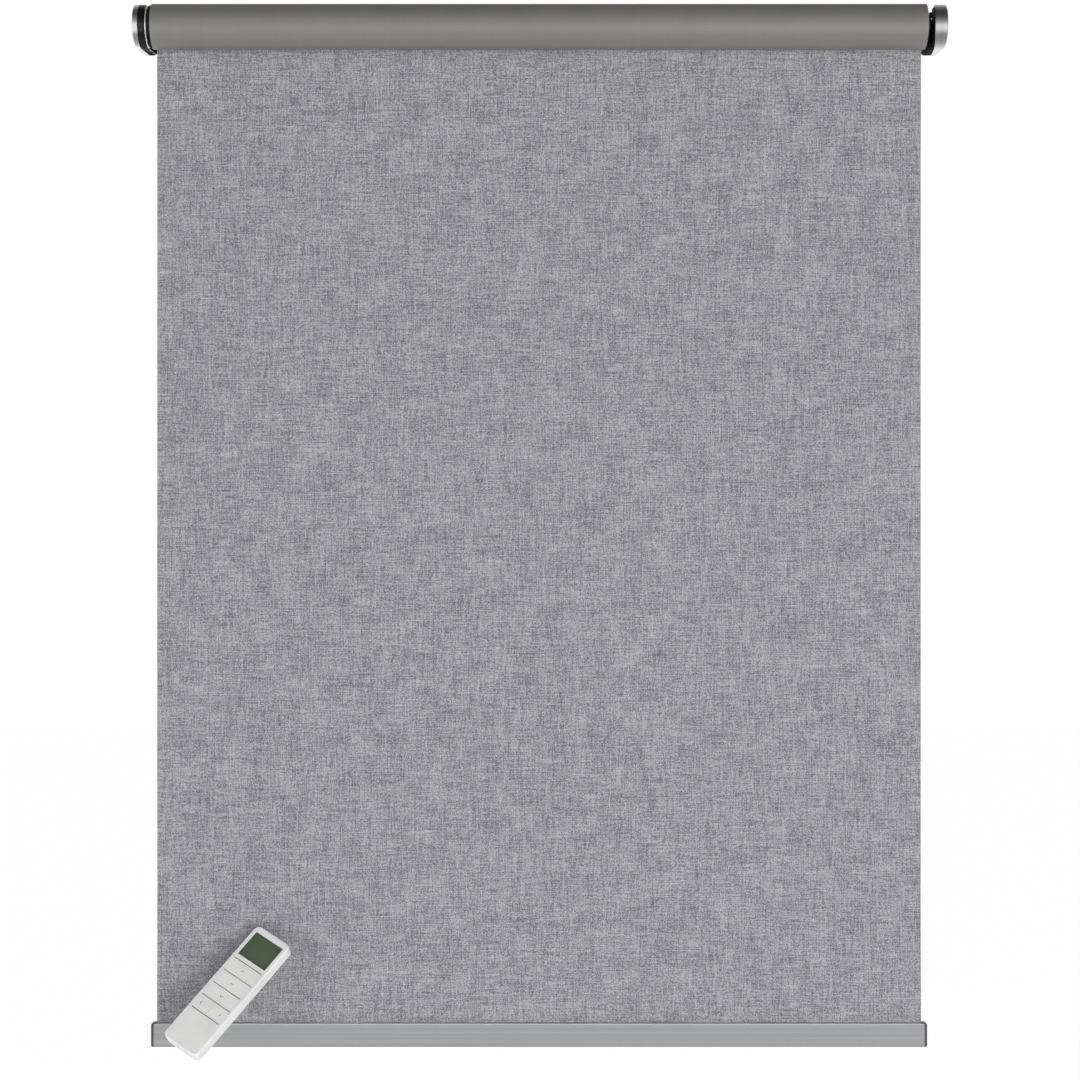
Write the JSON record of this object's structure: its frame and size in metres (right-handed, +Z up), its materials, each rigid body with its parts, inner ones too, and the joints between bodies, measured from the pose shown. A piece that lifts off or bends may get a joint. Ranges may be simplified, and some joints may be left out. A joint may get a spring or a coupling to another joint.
{
  "type": "motorized roller blind",
  "caption": "Roller blind on two end brackets with a battery tube motor, sprung idler, melange sheet, aluminium hem bar and a hand remote.",
  "frame": {"origin": "on the wall plane, midway between the four wall-screw holes, level with the roller axis", "axes": "+X along the roller to the viewer's right, +Y from the room into the wall, +Z up"},
  "size_m": [0.8089, 0.1238, 1.0467],
  "materials": {
    "brushed_steel": "brushed, satin",
    "black_steel": "powder coated, semi-gloss",
    "black_gloss": "polished moulding",
    "black_matte": "moulded, fine texture",
    "chrome": "polished",
    "spring_steel": "drawn",
    "zinc_steel": "zinc plated",
    "raw_aluminium": "mill finish",
    "satin_aluminium": "satin anodised",
    "grey_nylon": "moulded",
    "dark_grey_plastic": "moulded",
    "white_plastic": "fine satin",
    "key_plastic": "fine satin",
    "clear_lens": "clear, tinted",
    "display_panel": "liquid crystal panel",
    "light_lens": "frosted",
    "rubber": "soft, matt",
    "circuit": "solder mask",
    "cell_wrap": "shrink sleeve",
    "cell_steel": "nickel plated",
    "sheet_fabric": "melange weave",
    "roll_fabric": "coated reverse"
  },
  "bodies": {
    "mounting": {"left_bracket": "black_steel", "right_bracket": "black_steel", "motor_head": "black_gloss", "motor_lock_clip": "spring_steel", "trim_ring": "chrome", "status_light": "light_lens", "charging_port": "cell_steel", "motor_casing": "raw_aluminium", "control_board": "circuit", "battery_pack": "cell_wrap", "electric_motor": "zinc_steel", "gearbox": "dark_grey_plastic", "idler_carrier": "black_matte", "carrier_screws": "zinc_steel", "fabric_sheet": "sheet_fabric"},
    "roller": {"roller_tube": "raw_aluminium", "fabric_key_strip": "grey_nylon", "fabric_roll": "roll_fabric", "crown_ring": "black_matte", "drive_wheel": "grey_nylon", "output_shaft": "spring_steel", "idler_plug": "black_gloss", "idler_bush": "grey_nylon", "pin_spring": "spring_steel"},
    "hem_bar": {"hem_rail": "satin_aluminium", "hem_spline": "grey_nylon", "left_end_cap": "dark_grey_plastic", "right_end_cap": "dark_grey_plastic"},
    "pin": {"idler_pin": "zinc_steel"},
    "latch": {"carrier_latch": "black_gloss"},
    "left_cap": {"left_cover": "brushed_steel"},
    "right_cap": {"right_cover": "brushed_steel"},
    "button": {"setting_button": "black_matte"},
    "port_plug": {"port_cover": "rubber"},
    "remote": {"remote_front_shell": "white_plastic", "remote_back_shell": "white_plastic", "remote_lens": "clear_lens", "remote_display": "display_panel", "remote_circuit": "circuit", "remote_keypad": "rubber", "remote_coin_cell": "cell_steel", "remote_contact": "spring_steel"},
    "battery_door": {"remote_battery_door": "white_plastic"},
    "up_key": {"key_up": "key_plastic"},
    "stop_key": {"key_stop": "key_plastic"},
    "down_key": {"key_down": "key_plastic"},
    "left_key": {"key_left": "key_plastic"},
    "right_key": {"key_right": "key_plastic"}
  },
  "joints": [
    {"name": "roller_spin", "type": "hinge", "parent": "mounting", "child": "roller", "pos_m": [0, -0.049, 0], "axis": [1, 0, 0], "range_deg": [0, 2250]},
    {"name": "hem_travel", "type": "slide", "parent": "mounting", "child": "hem_bar", "axis": [0, 0, 1], "range_m": [0, 0.9403], "deforming": ["fabric_sheet"]},
    {"name": "pin_push", "type": "slide", "parent": "mounting", "child": "pin", "axis": [-1, 0, 0], "range_m": [0, 0.011], "stiffness_N_per_m": 400, "springref_m": -0.005, "deforming": ["pin_spring"]},
    {"name": "latch_slide", "type": "slide", "parent": "mounting", "child": "latch", "axis": [0, 1, 0], "range_m": [0, 0.013]},
    {"name": "left_cover_pull", "type": "slide", "parent": "mounting", "child": "left_cap", "axis": [-1, 0, 0], "range_m": [0, 0.012]},
    {"name": "right_cover_pull", "type": "slide", "parent": "mounting", "child": "right_cap", "axis": [1, 0, 0], "range_m": [0, 0.02]},
    {"name": "setting_button_press", "type": "slide", "parent": "mounting", "child": "button", "axis": [0, 0, 1], "range_m": [0, 0.0006], "stiffness_N_per_m": 1000, "springref_m": -0.0005},
    {"name": "port_cover_pull", "type": "slide", "parent": "mounting", "child": "port_plug", "axis": [0, 0, -1], "range_m": [0, 0.006]},
    {"name": "remote_lift", "type": "slide", "parent": "mounting", "child": "remote", "axis": [0, -1, 0], "range_m": [0, 0.25]},
    {"name": "battery_door_slide", "type": "slide", "parent": "remote", "child": "battery_door", "axis": [-0.5954, -0.4451, -0.6689], "range_m": [0, 0.03]},
    {"name": "up_key_press", "type": "slide", "parent": "remote", "child": "up_key", "axis": [0.135, 0.7653, -0.6293], "range_m": [0, 0.0006], "stiffness_N_per_m": 1500, "springref_m": -0.0004},
    {"name": "stop_key_press", "type": "slide", "parent": "remote", "child": "stop_key", "axis": [0.135, 0.7653, -0.6293], "range_m": [0, 0.0006], "stiffness_N_per_m": 1500, "springref_m": -0.0004},
    {"name": "down_key_press", "type": "slide", "parent": "remote", "child": "down_key", "axis": [0.135, 0.7653, -0.6293], "range_m": [0, 0.0006], "stiffness_N_per_m": 1500, "springref_m": -0.0004},
    {"name": "left_key_press", "type": "slide", "parent": "remote", "child": "left_key", "axis": [0.135, 0.7653, -0.6293], "range_m": [0, 0.0006], "stiffness_N_per_m": 1500, "springref_m": -0.0004},
    {"name": "right_key_press", "type": "slide", "parent": "remote", "child": "right_key", "axis": [0.135, 0.7653, -0.6293], "range_m": [0, 0.0006], "stiffness_N_per_m": 1500, "springref_m": -0.0004}
  ],
  "couplings": [
    {"joint": "hem_travel", "follows": "roller_spin", "m_per_rad": 0.023931}
  ]
}
